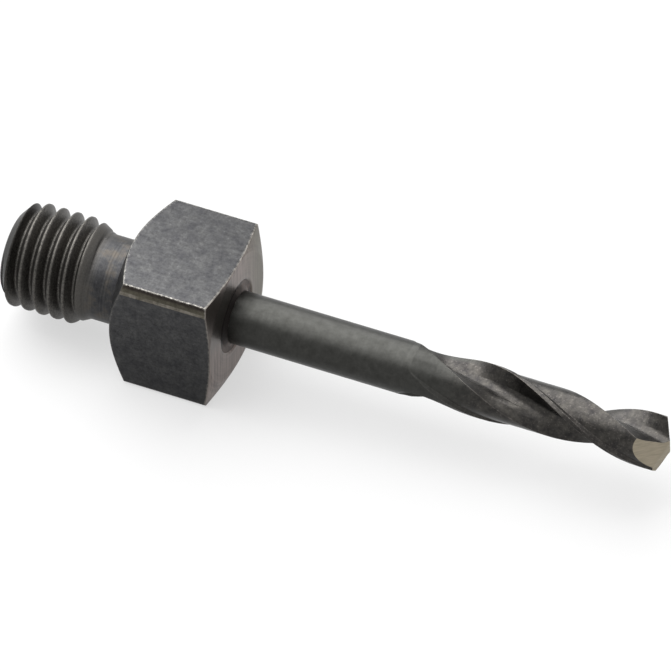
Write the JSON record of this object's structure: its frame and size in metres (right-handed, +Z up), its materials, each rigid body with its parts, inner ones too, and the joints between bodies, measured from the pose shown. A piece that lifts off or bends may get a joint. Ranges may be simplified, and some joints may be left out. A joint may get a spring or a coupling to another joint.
{
  "type": "threaded shank drill bit",
  "caption": "Short twist drill brazed into a square steel adapter with a threaded stub behind it, for right-angle drill heads.",
  "frame": {"origin": "on the axis, in the shoulder plane where the threaded stub leaves the square body", "axes": "+X along the axis towards the point; +Z up, with two flats of the body level and the lower one resting at Z = -3.97 mm"},
  "size_m": [0.0411, 0.008, 0.008],
  "materials": {
    "threaded_adapter": "satin",
    "twist_drill": "satin",
    "braze_joint": "satin"
  },
  "bodies": {
    "root": {"threaded_adapter": "threaded_adapter", "twist_drill": "twist_drill", "braze_joint": "braze_joint"}
  },
  "joints": []
}
